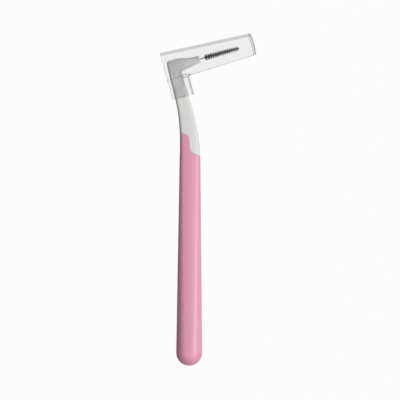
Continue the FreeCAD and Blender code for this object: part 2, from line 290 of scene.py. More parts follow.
class Finish:
    """A node tree for a surface or for the world, with one method that adds any node."""

    # Half the width of the slope at the limits of a band
    band_softness = 0.05 * MM

    def __init__(self, owner):
        owner.use_nodes = True
        self.owner = owner
        self.tree = owner.node_tree
        self.tree.nodes.clear()

    def node(self, kind, settings=None, sockets=None, out=0):
        """Adds a node, with its settings first, and gives one of its outputs if it has any."""
        made = self.tree.nodes.new(kind)
        for name, value in (settings or {}).items():
            setattr(made, name, value)
        for name, value in (sockets or {}).items():
            self.fill(made.inputs[name], value)
        return Value(self, made.outputs[out]) if made.outputs else None

    def fill(self, socket, value):
        """Links a socket to a shader value, or sets it to a constant."""
        if isinstance(value, Value):
            self.tree.links.new(value.socket, socket)
        else:
            socket.default_value = value

    def noise(self, scale, detail=2.0, roughness=0.5, stretch=(1.0, 1.0, 1.0)):
        """Noise in object space, with so many features to the metre."""
        spot = self.node("ShaderNodeTexCoord", out="Object")
        spot = self.node("ShaderNodeMapping", None, {"Vector": spot, "Scale": stretch})
        sockets = {"Vector": spot, "Scale": scale, "Detail": detail, "Roughness": roughness}
        return self.node("ShaderNodeTexNoise", None, sockets, out="Fac")

    def blend(self, factor, first, second):
        """A colour between two colours."""
        return self.node("ShaderNodeMix", {"data_type": "RGBA"}, {0: factor, 6: first, 7: second}, out=2)

    def varied(self, factor, rgb, amount):
        """A colour that is darker or lighter by up to a share of itself."""
        return self.blend(factor, rgba(rgb, 1 - amount), rgba(rgb, 1 + amount))

    def dot(self, first, second):
        """How far a vector reaches along a direction."""
        settings = {"operation": "DOT_PRODUCT"}
        return self.node("ShaderNodeVectorMath", settings, {0: first, 1: second}, out="Value")

    def step(self, value, low, high):
        """0 below one value and 1 above another, with an even slope between them."""
        return ((value - low) * (1 / (high - low))).at_least(0.0).at_most(1.0)

    def band(self, value, low, high):
        """1 between two values and 0 outside them, with slightly soft limits."""
        soft = self.band_softness
        inside = 1.0 - self.step(value, high - soft, high + soft)
        return self.step(value, low - soft, low + soft) * inside

    def bump(self, height, strength, distance):
        """A normal that follows a height."""
        sockets = {"Height": height, "Strength": strength, "Distance": distance}
        return self.node("ShaderNodeBump", None, sockets, out="Normal")

    def surface(self, sockets):
        """The Principled surface and the output that it goes to."""
        self.output(self.node("ShaderNodeBsdfPrincipled", None, sockets))
        return self.owner

    def output(self, shader, kind="ShaderNodeOutputMaterial"):
        """Ends the tree with a shader."""
        self.node(kind, None, {"Surface": shader})


def rgba(rgb, gain=1.0):
    """A colour with its alpha, made darker or lighter by a gain."""
    return tuple(min(1.0, channel * gain) for channel in rgb) + (1.0,)


def soft_grip_finish(settings):
    """Soft overmoulded grip: satin, with a fine moulded grain and slight mottling."""
    finish = Finish(bpy.data.materials.new("soft_grip"))
    mottle = finish.noise(scale=160.0, detail=3.0, roughness=0.55)
    grain = finish.noise(scale=5200.0, roughness=0.6)
    return finish.surface({
        "Base Color": finish.varied(mottle, settings.grip_colour, amount=0.05),
        "Roughness": 0.36 + 0.10 * mottle,
        "Normal": finish.bump(grain, strength=0.06, distance=0.04 * MM),
        "Specular IOR Level": 0.5,
    })


def hard_core_finish(settings):
    """Hard white core: satin moulded plastic with faint flow marks."""
    finish = Finish(bpy.data.materials.new("hard_core"))
    flow = finish.noise(scale=240.0, detail=3.0, stretch=(1.0, 0.25, 1.0))
    grain = finish.noise(scale=7000.0)
    return finish.surface({
        "Base Color": finish.varied(flow, settings.core_colour, amount=0.025),
        "Roughness": 0.42 + 0.12 * flow,
        "Normal": finish.bump(grain, strength=0.03, distance=0.03 * MM),
        "Specular IOR Level": 0.3,
    })


def drawn_wire_finish(settings):
    """Drawn steel wire with fine lengthwise drawing marks."""
    finish = Finish(bpy.data.materials.new("drawn_wire"))
    marks = finish.noise(scale=9000.0, roughness=0.6, stretch=(0.12, 1.0, 1.0))
    return finish.surface({
        "Base Color": finish.varied(marks, settings.wire_colour, amount=0.2),
        "Metallic": 1.0,
        "Roughness": 0.24 + 0.2 * marks,
        "Normal": finish.bump(marks, strength=0.1, distance=0.01 * MM),
    })


def nylon_finish(settings):
    """Dark nylon filaments, each a little lighter or darker than the next."""
    finish = Finish(bpy.data.materials.new("nylon_filament"))
    each = finish.node("ShaderNodeNewGeometry", out="Random Per Island")
    darkest = rgba(settings.filament_colour, gain=0.6)
    lightest = rgba(settings.filament_colour, gain=2.2)
    return finish.surface({
        "Base Color": finish.blend(each, darkest, lightest),
        "Roughness": 0.5 + 0.2 * each,
        "Specular IOR Level": 0.2,
    })


class PaintedCapShade:
    """Masks for painted shade where the cap's walls are seen edge on and over the thick roof wall, as
    shader values between 0 and 1.
    """

    # How far past the skin a line still counts, which only has to clear the skin
    past_skin = 1.0 * MM

    def __init__(self, finish, cap, origin):
        self.finish = finish
        self.cap = cap
        self.origin = origin
        self.spot = finish.node("ShaderNodeTexCoord", out="Object")
        self.x = finish.dot(self.spot, (1, 0, 0)) - origin.x
        self.y = finish.dot(self.spot, (0, 1, 0)) - origin.y
        self.square_end = cap.right - cap.bulge

    def outside(self, start, stop):
        """How far a place lies outside the wall that runs from one point (x, y) to another."""
        along = Vector(stop) - Vector(start)
        out = Vector((-along.y, along.x, 0)).normalized()
        return self.finish.dot(self.spot, out) - out.dot(self.origin + Vector(start).to_3d())

    def roof(self):
        """Painted shade over the thick roof wall, under its clear skin."""
        cap = self.cap
        over = self.outside((-cap.left, cap.mouth_roof), (self.square_end, cap.tip_roof))
        return self.finish.band(over, -cap.roof_wall, -cap.roof_skin)

    def floor(self):
        """The painted shade line along the floor, from the channel to the closed end."""
        cap = self.cap
        under = self.outside((self.square_end, -cap.tip_floor), (-cap.left, -cap.mouth_floor))
        past_channel = self.finish.step(self.x, cap.channel_right, cap.channel_right + cap.edge_line)
        line = self.finish.band(under, -cap.floor_width * cap.edge_line, self.past_skin)
        return cap.floor_strength * past_channel * line

    def mouth(self):
        """The faint painted shade line at the open end."""
        cap = self.cap
        return cap.mouth_strength * self.finish.band(self.x + cap.left, -self.past_skin, cap.edge_line)

    def closed_end(self):
        """Painted shade lines at the skin and at the inner face of the bulged end."""
        cap = self.cap
        half = (cap.tip_roof + cap.tip_floor) / 2
        off_middle = self.y - (cap.tip_roof - cap.tip_floor) / 2
        past_end = self.x + cap.bulge / half ** 2 * (off_middle * off_middle) - cap.right
        outer = self.finish.band(past_end, -cap.end_outer * cap.edge_line, self.past_skin)
        inner = self.finish.band(past_end, -cap.end_wall, cap.edge_line - cap.end_wall)
        return outer + cap.end_inner * inner

    def channel(self):
        """Painted shade lines at the skin and the inner face of the channel's outer side, and at the lip
        above it.
        """
        cap = self.cap
        lip_height = cap.wall - channel_floor(cap)
        past_side = self.x - cap.channel_right
        outer = self.finish.band(past_side, -cap.flank_outer * cap.edge_line, self.past_skin)
        inner = self.finish.band(past_side, -cap.wall, cap.edge_line - cap.wall)
        below = self.finish.step(self.y * -1.0, -lip_height, cap.edge_line - lip_height)
        beside_neck = self.finish.band(self.x, cap.seat, cap.channel_right - cap.wall)
        lip = beside_neck * self.finish.band(self.y, lip_height, lip_height + cap.edge_line)
        return (outer + cap.flank_inner * inner) * below + lip


def clear_cap_finish(settings, origin):
    """Clear moulded plastic with a faint waviness, with painted shade where its walls are seen edge on and
    over the thick roof wall.
    """
    finish = Finish(bpy.data.materials.new("clear_cap"))
    wave = finish.noise(scale=300.0)
    lines = PaintedCapShade(finish, settings, origin)
    # Painted shade lines where the cap's walls are seen edge on
    edges = (lines.closed_end() + lines.channel() + lines.floor() + lines.mouth()).at_most(1.0)
    # The plastic's own faint tint, with painted shade over the thick roof wall
    tint_and_painted_roof_shade = finish.blend(lines.roof(), rgba(settings.tint), rgba(settings.painted_roof_shade))
    return finish.surface({
        "Base Color": finish.blend(edges, tint_and_painted_roof_shade, rgba(settings.painted_edge_shade)),
        "Roughness": 0.02 + 0.03 * wave,
        "Normal": finish.bump(wave, strength=0.08, distance=0.1 * MM),
        "IOR": 1.49,
        "Specular IOR Level": 0.2,
        "Transmission Weight": 1.0,
    })


def channel_floor(cap):
    """How far the cap's floor lies below the brush axis at the channel's outer side."""
    part = (cap.channel_right + cap.left) / (cap.right + cap.left)
    return cap.mouth_floor - (cap.mouth_floor - cap.tip_floor) * part


def crossing_point(head):
    """The point where the axis of the brush crosses the axis of the neck."""
    return Vector((
        core_high.x - head.barrel_end,
        (wire_low.y + wire_high.y) / 2,
        (wire_low.z + wire_high.z) / 2,
    ))


def hold(value):
    """A value kept between 0 and 1."""
    return min(max(value, 0.0), 1.0)


def smooth(value):
    """A soft step from 0 to 1."""
    held = hold(value)
    return held * held * (3 - 2 * held)


def evenly(first, last, steps):
    """Evenly spaced values, both ends among them."""
    return [first + (last - first) * index / steps for index in range(steps + 1)]


def fillet(corner, before, after, radius, steps):
    """The points of a rounded corner, between two directions that lead away from it."""
    half_angle = before.angle(after) / 2
    run = radius / math.tan(half_angle)
    centre = corner + (before + after).normalized() * radius / math.sin(half_angle)
    start = corner + before * run - centre
    turn = start.angle_signed(corner + after * run - centre)
    points = []
    for part in evenly(0, 1, steps):
        cosine = math.cos(-turn * part)
        sine = math.sin(-turn * part)
        spun = Vector((start.x * cosine - start.y * sine, start.x * sine + start.y * cosine))
        points.append(centre + spun)
    return points


class HandleLine:
    """The handle's middle line, and the size of its section at each station."""

    def __init__(self, sizes, origin):
        self.sizes = sizes
        self.origin = origin
        self.bend_top = sizes.straight + sizes.bend_radius * sizes.bend_angle
        self.crossing = self.bend_top + sizes.neck_straight
        self.taper_start = sizes.straight - sizes.taper_lead
        self.taper_end = self.bend_top + sizes.taper_tail
        self.end_radius = sizes.end_width / 2

    def eased(self, station, end_value, top_value, neck_value):
        """A size that changes evenly up the grip and then softly into the neck."""
        slope = (top_value - end_value) / (self.taper_start - self.end_radius)
        if station <= self.taper_start:
            return top_value + slope * (station - self.taper_start)
        run = self.taper_end - self.taper_start
        part = min((station - self.taper_start) / run, 1)
        run_on = slope * run * part * (1 - part) ** 2
        return top_value + run_on + (neck_value - top_value) * smooth(part)

    def place(self, station):
        """The middle point and the direction across the handle."""
        if station >= self.bend_top:
            return self.origin + Vector((0, station - self.crossing, 0)), Vector((1, 0, 0))
        radius = self.sizes.bend_radius
        turn = min((self.bend_top - station) / radius, self.sizes.bend_angle)
        across = Vector((math.cos(turn), -math.sin(turn), 0))
        centre = self.origin + Vector((-radius, -self.sizes.neck_straight, 0))
        below = max(self.sizes.straight - station, 0)
        return centre + across * radius - UP.cross(across) * below, across

    def lean(self, station):
        """How far the back of the neck leans in, which moves its middle by half as much."""
        return self.sizes.neck_lean * hold((station - self.taper_end) / (self.crossing - self.taper_end))

    def section(self, station, inset=0.0):
        """The section at a station, made smaller all round by an inset."""
        sizes = self.sizes
        width = self.eased(station, sizes.end_width, sizes.top_width, sizes.neck_width) - self.lean(station)
        depth = self.eased(station, sizes.end_depth, sizes.top_depth, sizes.neck_depth)
        edge = self.eased(station, sizes.end_edge, sizes.top_edge, sizes.neck_edge)
        crown = self.eased(station, 1 / sizes.crown_radius, 1 / sizes.crown_radius, 0)
        facet = self.eased(station, sizes.edge_facet, sizes.edge_facet, 1.0)
        return Section(width - 2 * inset, depth - 2 * inset, edge - inset, crown, facet)


class Section:
    """A section with rounded or softly chamfered edges, flat sides and a crowned front and back."""

    def __init__(self, width, depth, edge, crown=0.0, facet=1.0):
        self.half_width = width / 2
        self.half_depth = depth / 2
        self.crown = crown
        self.facet = facet
        side = self.half_width - edge
        if crown < FLAT:
            self.edge_height = self.half_depth - edge
            self.crown_half = side
            self.slope = 0.0
        else:
            reach = 1 / crown - edge
            self.edge_height = self.half_depth - 1 / crown + math.sqrt(reach ** 2 - side ** 2)
            self.crown_half = side / (crown * reach)
            self.slope = side / math.sqrt(reach ** 2 - side ** 2)
        self.edge_width = self.half_width - self.crown_half

    def height(self, across):
        """The height of the front at a distance from the middle."""
        if across > self.crown_half:
            part = min((across - self.crown_half) / self.edge_width, 1.0)
            rounding = (1 - part ** (2 / self.facet)) ** (self.facet / 2)
            shoulder = self.height(self.crown_half)
            corner = shoulder - self.slope * self.edge_width
            return shoulder + (corner - shoulder) * part - (corner - self.edge_height) * (1 - rounding)
        if self.crown < FLAT:
            return self.half_depth
        return self.half_depth - 1 / self.crown + math.sqrt(1 / self.crown ** 2 - across ** 2)

    def point(self, column):
        """A point of the front half: a part of the side, of an edge or of the crown."""
        kind, amount, sign = column
        if kind == "side":
            return sign * self.half_width, amount * self.edge_height
        if kind == "edge":
            part_out = max(math.cos(amount * math.pi / 2), 0.0) ** self.facet
            across = self.crown_half + self.edge_width * part_out
            return sign * across, self.height(across)
        across = amount * self.crown_half
        return across, self.height(abs(across))


class Columns:
    """The lines that run along the handle, each with its place round the section and on the seam."""

    side_parts = (0.0, 0.5, 1.0)
    edge_steps = 9
    seam_steps = 10

    def __init__(self, line):
        sizes = line.sizes
        section = line.section(sizes.seam_middle)
        seam = self.seam_points(sizes)
        outer = section.crown_half
        right = [("side", part, 1) for part in self.side_parts]
        right += [("edge", part, 1) for part in evenly(0, 1, self.edge_steps)[1:]]
        right.append(("crown", (1 + seam[0].x / outer) / 2, 1))
        crown = [("crown", point.x / outer, 1) for point in seam]
        left = [(kind, -part if kind == "crown" else part, -1) for kind, part, _ in reversed(right)]
        self.front = right + crown + left
        self.seam = [self.beside_seam(sizes, section, column) for column in right]
        self.seam += [point.y for point in seam]
        self.seam += [self.beside_seam(sizes, section, column) for column in left]
        self.angles = self.round_angles(Section(sizes.neck_width, sizes.neck_depth, sizes.neck_edge))

    def seam_points(self, sizes):
        """The S of the seam as points (across, up), from right to left."""
        corner = Vector((sizes.seam_lean / 2, -sizes.seam_step / 2))
        outward = Vector((1, -sizes.seam_slope)).normalized()
        inward = (corner * -1).normalized()
        right = fillet(corner, outward, inward, sizes.seam_radius, self.seam_steps)
        steep_start = right[-1]
        right += [steep_start.lerp(Vector((0, 0)), part) for part in evenly(0, 1, self.seam_steps)[1:]]
        return right + [point * -1 for point in right[-2::-1]]

    def beside_seam(self, sizes, section, column):
        """The height of the seam at a column beside the S."""
        across = section.point(column)[0]
        sign = 1 if across > 0 else -1
        return -sign * (sizes.seam_step / 2 + sizes.seam_slope * (abs(across) - sizes.seam_lean / 2))

    def round_angles(self, section):
        """Where each column goes when the section turns into a circle."""
        points = [Vector(section.point(column)) for column in self.front]
        travelled = [0.0]
        for before, after in zip(points, points[1:]):
            travelled.append(travelled[-1] + (after - before).length)
        return [math.pi * part / travelled[-1] for part in travelled]


def ring(halves):
    """A closed ring over the front and back under it, from pairs of a place and a height."""
    front = [spot + UP * height for spot, height in halves]
    back = [spot - UP * height for spot, height in halves]
    return front + back[-2:0:-1]


def handle_ring(line, columns, base, weight=0.0, inset=0.0):
    """A ring round the handle, which follows the seam as far as weight says."""
    halves = []
    for column, rise in zip(columns.front, columns.seam):
        station = base + weight * rise
        middle, across = line.place(station)
        offset, height = line.section(station, inset).point(column)
        halves.append((middle + across * (offset + line.lean(station) / 2), height))
    return ring(halves)


def end_rings(line, columns, steps):
    """Rings that close the round end, from its tip up to the straight handle."""
    station = line.end_radius
    middle, across = line.place(station)
    downward = UP.cross(across) * -1
    section = line.section(station)
    rings = []
    for turn in evenly(math.pi / 2, 0, steps)[:-1]:
        drop = line.end_radius * math.sin(turn)
        narrowing = line.end_radius * math.cos(turn) / section.half_width
        halves = []
        for column in columns.front:
            offset, height = section.point(column)
            offset *= narrowing
            if column[0] != "side":
                height = section.height(math.hypot(offset, drop))
            halves.append((middle + across * offset + downward * drop, height))
        rings.append(ring(halves))
    return rings


def flat_ring(columns, section, middle, across, roundness):
    """A ring in one plane, between the section and a circle of its size."""
    halves = []
    for column, turn in zip(columns.front, columns.angles):
        offset, height = section.point(column)
        offset += (section.half_width * math.cos(turn) - offset) * roundness
        height += (section.half_depth * math.sin(turn) - height) * roundness
        halves.append((middle + across * offset, height))
    return ring(halves)


def skin(name, rings, close_start=None, close_end=None):
    """An object over rings of equally many points, with ends closed "across" or by a "disc"."""
    shape = bmesh.new()
    rows = [[shape.verts.new(point) for point in points] for points in rings]
    total = len(rings[0])
    for lower, upper in zip(rows, rows[1:]):
        bridge(shape, lower, upper)
    for row, how in ((rows[0], close_start), (rows[-1], close_end)):
        if how == "disc":
            shape.faces.new(row)
        elif how == "across":
            for index in range(total // 2):
                near = [row[index], row[index + 1]]
                far = [row[(total - index - 1) % total], row[-index % total]]
                shape.faces.new(dict.fromkeys(near + far))
    bmesh.ops.remove_doubles(shape, verts=shape.verts, dist=HAIR)
    bmesh.ops.recalc_face_normals(shape, faces=shape.faces)
    return add_object(name, shape)


def bridge(shape, lower, upper):
    """Faces between two closed rows of vertices."""
    total = len(lower)
    for index in range(total):
        after = (index + 1) % total
        shape.faces.new((lower[index], lower[after], upper[after], upper[index]))


def add_object(name, shape):
    """A smooth object in the scene from a mesh in the making."""
    mesh = bpy.data.meshes.new(name)
    shape.to_mesh(mesh)
    shape.free()
    made = bpy.data.objects.new(name, mesh)
    bpy.context.scene.collection.objects.link(made)
    mesh.shade_smooth()
    return made


def open_mesh(piece):
    """The mesh of an object, in the making again."""
    shape = bmesh.new()
    shape.from_mesh(piece.data)
    return shape


def dress(piece, body, slot, material, *nodes):
    """Puts a piece on its body, in place of its CAD nodes, with its finish."""
    piece.data.materials.clear()
    piece.data.materials.append(material)
    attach(piece, body)
    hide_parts(*nodes)


def sharpen(piece, degrees):
    """Keeps edges that turn by more than an angle crisp."""
    piece.data.set_sharp_from_angle(angle=math.radians(degrees))


# How the groove sinks to the seam, as shares of the lip's width and of the groove's depth
groove_profile = ((0.45, 0.12), (0.15, 0.45), (0.03, 1.0))
# How many rings follow the seam on each side of it
seam_rows = 36
# The handle's edges that turn by more degrees than this are crisp
handle_crispness = 50


def seam_weight(line, station):
    """How closely a ring at a station follows the seam."""
    return smooth(1 - abs(station - line.sizes.seam_middle) / line.sizes.seam_fade)


class BRUSH_OT_grip(bpy.types.Operator):
    """Build the soft grip, from its round end up to the S-shaped seam"""

    bl_idname = "brush.grip"
    bl_label = "Grip"

    end_rows = 18
    straight_rows = 24

    def execute(self, context):
        sizes = context.scene.brush_handle
        line = HandleLine(sizes, crossing_point(context.scene.brush_head))
        columns = Columns(line)
        rings = end_rings(line, columns, self.end_rows)
        fade_start = sizes.seam_middle - sizes.seam_fade
        for station in evenly(line.end_radius, fade_start, self.straight_rows):
            rings.append(handle_ring(line, columns, station))
        for station in evenly(fade_start, sizes.seam_middle - sizes.seam_lip, seam_rows)[1:]:
            rings.append(handle_ring(line, columns, station, seam_weight(line, station)))
        for drop, depth in groove_profile:
            station = sizes.seam_middle - sizes.seam_lip * drop
            rings.append(handle_ring(line, columns, station, 1.0, sizes.seam_groove * depth))
        piece = skin("grip", rings, close_end="across")
        sharpen(piece, handle_crispness)
        dress(piece, "handle", "grip_pink", soft_grip_finish(sizes), "grip_sleeve")
        return {"FINISHED"}


class BRUSH_OT_core(bpy.types.Operator):
    """Build the hard core, from the seam up the neck, round the knuckle and out to the barrel"""

    bl_idname = "brush.core"
    bl_label = "Core"

    neck_rows = 5
    knuckle_rows = 32
    head_rows = 22
    barrel_rows = 6
    nose_rows = 8
    # The turn of the knuckle over which the bulge of the head's front sets in
    crown_turn = math.pi / 4

    def execute(self, context):
        self.sizes = context.scene.brush_handle
        self.head = context.scene.brush_head
        self.origin = crossing_point(self.head)
        self.line = HandleLine(self.sizes, self.origin)
        self.columns = Columns(self.line)
        rings = [*self.neck_rings(), *self.knuckle_rings(), *self.head_rings()]
        rings += self.barrel_rings(context.scene.brush_wire)
        piece = skin("core", rings, close_start="across", close_end="disc")
        sharpen(piece, handle_crispness)
        dress(piece, "handle", "core_white", hard_core_finish(self.sizes), "handle_core")
        return {"FINISHED"}

    def neck_rings(self):
        """Rings from the groove at the seam up to the inner corner."""
        sizes, line, columns = self.sizes, self.line, self.columns
        lip_end = sizes.seam_middle + sizes.seam_lip
        fade_end = sizes.seam_middle + sizes.seam_fade
        for rise, depth in (*reversed(groove_profile), (1.0, 0.0)):
            station = sizes.seam_middle + sizes.seam_lip * rise
            yield handle_ring(line, columns, station, 1.0, sizes.seam_groove * depth)
        for station in evenly(lip_end, fade_end, seam_rows)[1:]:
            yield handle_ring(line, columns, station, seam_weight(line, station))
        knuckle_start = line.crossing - self.head.under - self.head.inner_radius
        for station in evenly(fade_end, knuckle_start, self.neck_rows)[1:-1]:
            yield handle_ring(line, columns, station)

    def knuckle_rings(self):
        """Rings that fan out round the inner corner, from the neck to the head."""
        sizes, head = self.sizes, self.head
        for turn in evenly(math.pi, math.pi / 2, self.knuckle_rows):
            inner, outer = self.knuckle_points(turn)
            across = inner - outer
            crown = smooth((math.pi - turn) / self.crown_turn) / head.crown_radius
            section = Section(across.length, sizes.neck_depth, sizes.neck_edge, crown)
            yield flat_ring(self.columns, section, (inner + outer) / 2, across.normalized(), 0.0)

    def knuckle_points(self, turn):
        """The inner and outer points of the knuckle, on a ray from the middle of the inner corner."""
        sizes, head = self.sizes, self.head
        side = sizes.neck_width / 2
        back = sizes.neck_lean - side
        round_middle = Vector((back + head.corner_radius, head.top - head.corner_radius))
        centre = Vector((side + head.inner_radius, -head.under - head.inner_radius))
        ray = Vector((math.cos(turn), math.sin(turn)))
        inner = centre + ray * head.inner_radius
        to_back = (back - centre.x) / ray.x if ray.x < -HAIR else math.inf
        to_top = (head.top - centre.y) / ray.y if ray.y > HAIR else math.inf
        if to_back < math.inf and (centre + ray * to_back).y < round_middle.y:
            outer = centre + ray * to_back
        elif to_top < math.inf and (centre + ray * to_top).x > round_middle.x:
            outer = centre + ray * to_top
        else:
            toward = centre - round_middle
            along = toward.dot(ray)
            chord = math.sqrt(along ** 2 - toward.length_squared + head.corner_radius ** 2)
            outer = centre + ray * (chord - along)
        if outer.x < back + HAIR:
            outer.x -= sizes.neck_lean * hold(-outer.y / (sizes.neck_straight - sizes.taper_tail))
        return self.origin + inner.to_3d(), self.origin + outer.to_3d()

    def underside(self, x):
        """How far the straight underside lies below the axis, up to where it meets the barrel."""
        head = self.head
        start = self.sizes.neck_width / 2
        part = min((x - start) / (head.under_end - start), 1.0)
        return head.under + (head.barrel_radius - head.under) * part

    def head_rings(self):
        """Rings from the knuckle out to the barrel, which turn round on the way."""
        sizes, head = self.sizes, self.head
        start = sizes.neck_width / 2
        radius = head.barrel_radius + head.shoulder
        for x in evenly(start + head.inner_radius, head.barrel_root, self.head_rows)[1:]:
            part = smooth((x - start) / (head.barrel_root - start))
            top = head.top + (radius - head.top) * part
            under = self.underside(x)
            depth = sizes.neck_depth + (2 * radius - sizes.neck_depth) * part
            edge = sizes.neck_edge + (head.barrel_edge * radius - sizes.neck_edge) * part
            section = Section(top + under, depth, edge, (1 - part) / head.crown_radius)
            middle = self.origin + Vector((x, (top - under) / 2, 0))
            yield flat_ring(self.columns, section, middle, Vector((0, -1, 0)), part)

    def barrel_rings(self, wire):
        """Rings along the barrel and into the hole for the wire."""
        head = self.head
        for x, radius in self.barrel_profile(wire):
            extra = max(self.underside(x) - head.barrel_radius, 0.0)
            section = Section(2 * radius + extra, 2 * radius, head.barrel_edge * radius)
            middle = self.origin + Vector((x, -extra / 2, 0))
            yield flat_ring(self.columns, section, middle, Vector((0, -1, 0)), 1.0)

    def barrel_profile(self, wire):
        """Places and radii along the barrel: the step, the rounded nose and the hole for the wire."""
        head = self.head
        radius = head.barrel_radius
        yield head.barrel_root + head.shoulder_run, radius + head.shoulder * head.shoulder_ease
        yield head.barrel_root + 2 * head.shoulder_run, radius
        straight_start = head.barrel_root + 3 * head.shoulder_run
        for x in evenly(straight_start, head.barrel_end - head.nose_length, self.barrel_rows):
            yield x, radius
        for turn in evenly(0, math.pi / 2, self.nose_rows)[1:]:
            yield (
                head.barrel_end - head.nose_length * (1 - math.sin(turn)),
                radius - head.nose_drop * (1 - math.cos(turn)),
            )
        hole = wire.leg_radius + wire.wire_diameter / 2 + head.hole_gap
        yield head.barrel_end, hole + head.hole_flare
        yield head.barrel_end - head.hole_lead, hole
        yield head.barrel_end - head.hole_depth, hole


class TwistedWire:
    """The line of the folded, twisted wire along the axis of the brush."""

    steps_each_turn = 28
    fold_steps = 12

    def __init__(self, brush, head, origin):
        self.brush = brush
        self.origin = origin
        self.field_start = head.barrel_end + brush.bare
        self.tail = head.barrel_end - brush.embed
        tip = self.field_start + brush.field + brush.tip
        self.fold = tip - brush.leg_radius - brush.wire_diameter / 2
        # A whole number of quarter turns
        self.turns = round(4 * (self.fold - self.tail) / brush.pitch) / 4

    def angle(self, x):
        """How far the twist has turned at a place."""
        return 2 * math.pi * self.turns * (x - self.tail) / (self.fold - self.tail)

    def leg(self, x, phase):
        """A point on one of the two legs."""
        turn = self.angle(x) + phase
        radius = self.brush.leg_radius
        return self.origin + Vector((x, radius * math.cos(turn), radius * math.sin(turn)))

    def path(self):
        """The points of the wire, up one leg, round the fold and down the other."""
        places = evenly(self.tail, self.fold, round(self.turns * self.steps_each_turn))
        there = [self.leg(x, 0) for x in places]
        back = [self.leg(x, math.pi) for x in reversed(places)]
        side = (there[-1] - back[0]) / 2
        middle = (there[-1] + back[0]) / 2
        ahead = Vector((1, 0, 0)) * side.length
        bend = []
        for turn in evenly(0, math.pi, self.fold_steps)[1:-1]:
            bend.append(middle + side * math.cos(turn) + ahead * math.sin(turn))
        return there + bend + back


def tube(shape, points, radii, sides):
    """Adds a closed tube along points to a mesh in the making."""
    rows = []
    aside = None
    for index, point in enumerate(points):
        before = points[max(index - 1, 0)]
        after = points[min(index + 1, len(points) - 1)]
        along = (after - before).normalized()
        if aside is None:
            aside = along.orthogonal().normalized()
        aside = (aside - along * aside.dot(along)).normalized()
        other = along.cross(aside)
        row = []
        for side in range(sides):
            turn = 2 * math.pi * side / sides
            out = aside * math.cos(turn) + other * math.sin(turn)
            row.append(shape.verts.new(point + out * radii[index]))
        rows.append(row)
    for lower, upper in zip(rows, rows[1:]):
        bridge(shape, lower, upper)
    shape.faces.new(reversed(rows[0]))
    shape.faces.new(rows[-1])


class BRUSH_OT_wire(bpy.types.Operator):
    """Build the steel wire, folded double at the tip and twisted"""

    bl_idname = "brush.wire"
    bl_label = "Twisted wire"

    sides = 10

    def execute(self, context):
        brush = context.scene.brush_wire
        head = context.scene.brush_head
        points = TwistedWire(brush, head, crossing_point(head)).path()
        shape = bmesh.new()
        tube(shape, points, [brush.wire_diameter / 2] * len(points), self.sides)
        piece = add_object("wire", shape)
        dress(piece, "handle", "wire_steel", drawn_wire_finish(brush), "wire_stem")
        return {"FINISHED"}


class BRUSH_OT_filaments(bpy.types.Operator):
    """Build the nylon filaments, which are clamped in the twist and trimmed to a slight cone"""

    bl_idname = "brush.filaments"
    bl_label = "Filaments"

    spread: share("Spread", 0.06, "How far a filament strays from its place in the twist, in radians")
    lean: share("Lean", 0.02, "How far a filament leans along the brush")
    bow: share("Bow", 0.02, "How far a filament bends along the brush")
    trim: share("Trim", 0.015, "How unevenly the filaments are trimmed")
    crowding: share("Crowding", 0.45, "How much closer the filaments stand at the base")
    thinning: share("Thinning", 0.3, "How much thinner the filaments are at the tip of the brush")
    crispness: share("Crispness", 60.0, "Edges that turn by more degrees than this are crisp")

    seed = 11
    sides = 5
    # The thickness of a filament from its root to its end, as a share
    end_taper = (1.0, 1.0, 0.97, 0.85)

    def execute(self, context):
        brush = context.scene.brush_wire
        head = context.scene.brush_head
        twist = TwistedWire(brush, head, crossing_point(head))
        draw = random.Random(self.seed)
        shape = bmesh.new()
        for index in range(brush.filaments):
            part = (index + draw.random()) / brush.filaments
            part *= 1 - self.crowding + self.crowding * part
            x = twist.field_start + brush.field * part
            turn = twist.angle(x) + math.pi / 2 + draw.gauss(0, self.spread)
            diameter = brush.base_diameter + (brush.tip_diameter - brush.base_diameter) * part
            middle = twist.origin + Vector((x, 0, 0))
            thick = brush.filament / 2 * (1 - self.thinning * part)
            for sign in (1, -1):
                reach = diameter / 2 * (1 + draw.gauss(0, self.trim))
                lean = draw.gauss(0, self.lean)
                bow = draw.gauss(0, self.bow)
                out = Vector((0, math.cos(turn), math.sin(turn))) * sign * reach
                points = []
                for step in evenly(0, 1, len(self.end_taper) - 1):
                    slide = reach * (lean * step + bow * step * step)
                    points.append(middle + out * step + Vector((slide, 0, 0)))
                tube(shape, points, [thick * taper for taper in self.end_taper], self.sides)
        piece = add_object("filament_brush", shape)
        sharpen(piece, self.crispness)
        dress(piece, "handle", "filament_dark", nylon_finish(brush), "filaments")
        return {"FINISHED"}


def outline_solid(outline, low, high):
    """A solid in the making, from an outline of (x, y) points between two heights."""
    shape = bmesh.new()
    bottom = [shape.verts.new((x, y, low)) for x, y in outline]
    top = [shape.verts.new((x, y, high)) for x, y in outline]
    bridge(shape, bottom, top)
    shape.faces.new(reversed(bottom))
    shape.faces.new(top)
    bmesh.ops.recalc_face_normals(shape, faces=shape.faces)
    return shape


def carve(target, tool, operation):
    """Joins a tool to a solid or cuts it out, and takes the tool away."""
    modifier = target.modifiers.new("carve", "BOOLEAN")
    modifier.operation = operation
    modifier.solver = "EXACT"
    modifier.object = tool
    seen = bpy.context.evaluated_depsgraph_get()
    result = bpy.data.meshes.new_from_object(target.evaluated_get(seen))
    target.modifiers.remove(modifier)
    spent = target.data
    target.data = result
    bpy.data.meshes.remove(spent)
    bpy.data.objects.remove(tool)


def rounded(corners, steps):
    """An outline with each corner (x, y, radius) rounded, or left sharp where its radius isn't above 0."""
    points = []
    for index, (x, y, radius) in enumerate(corners):
        here = Vector((x, y))
        before = (Vector(corners[index - 1][:2]) - here).normalized()
        after = (Vector(corners[(index + 1) % len(corners)][:2]) - here).normalized()
        if radius > 0:
            points += fillet(here, before, after, radius, steps)
        else:
            points.append(here)
    return points


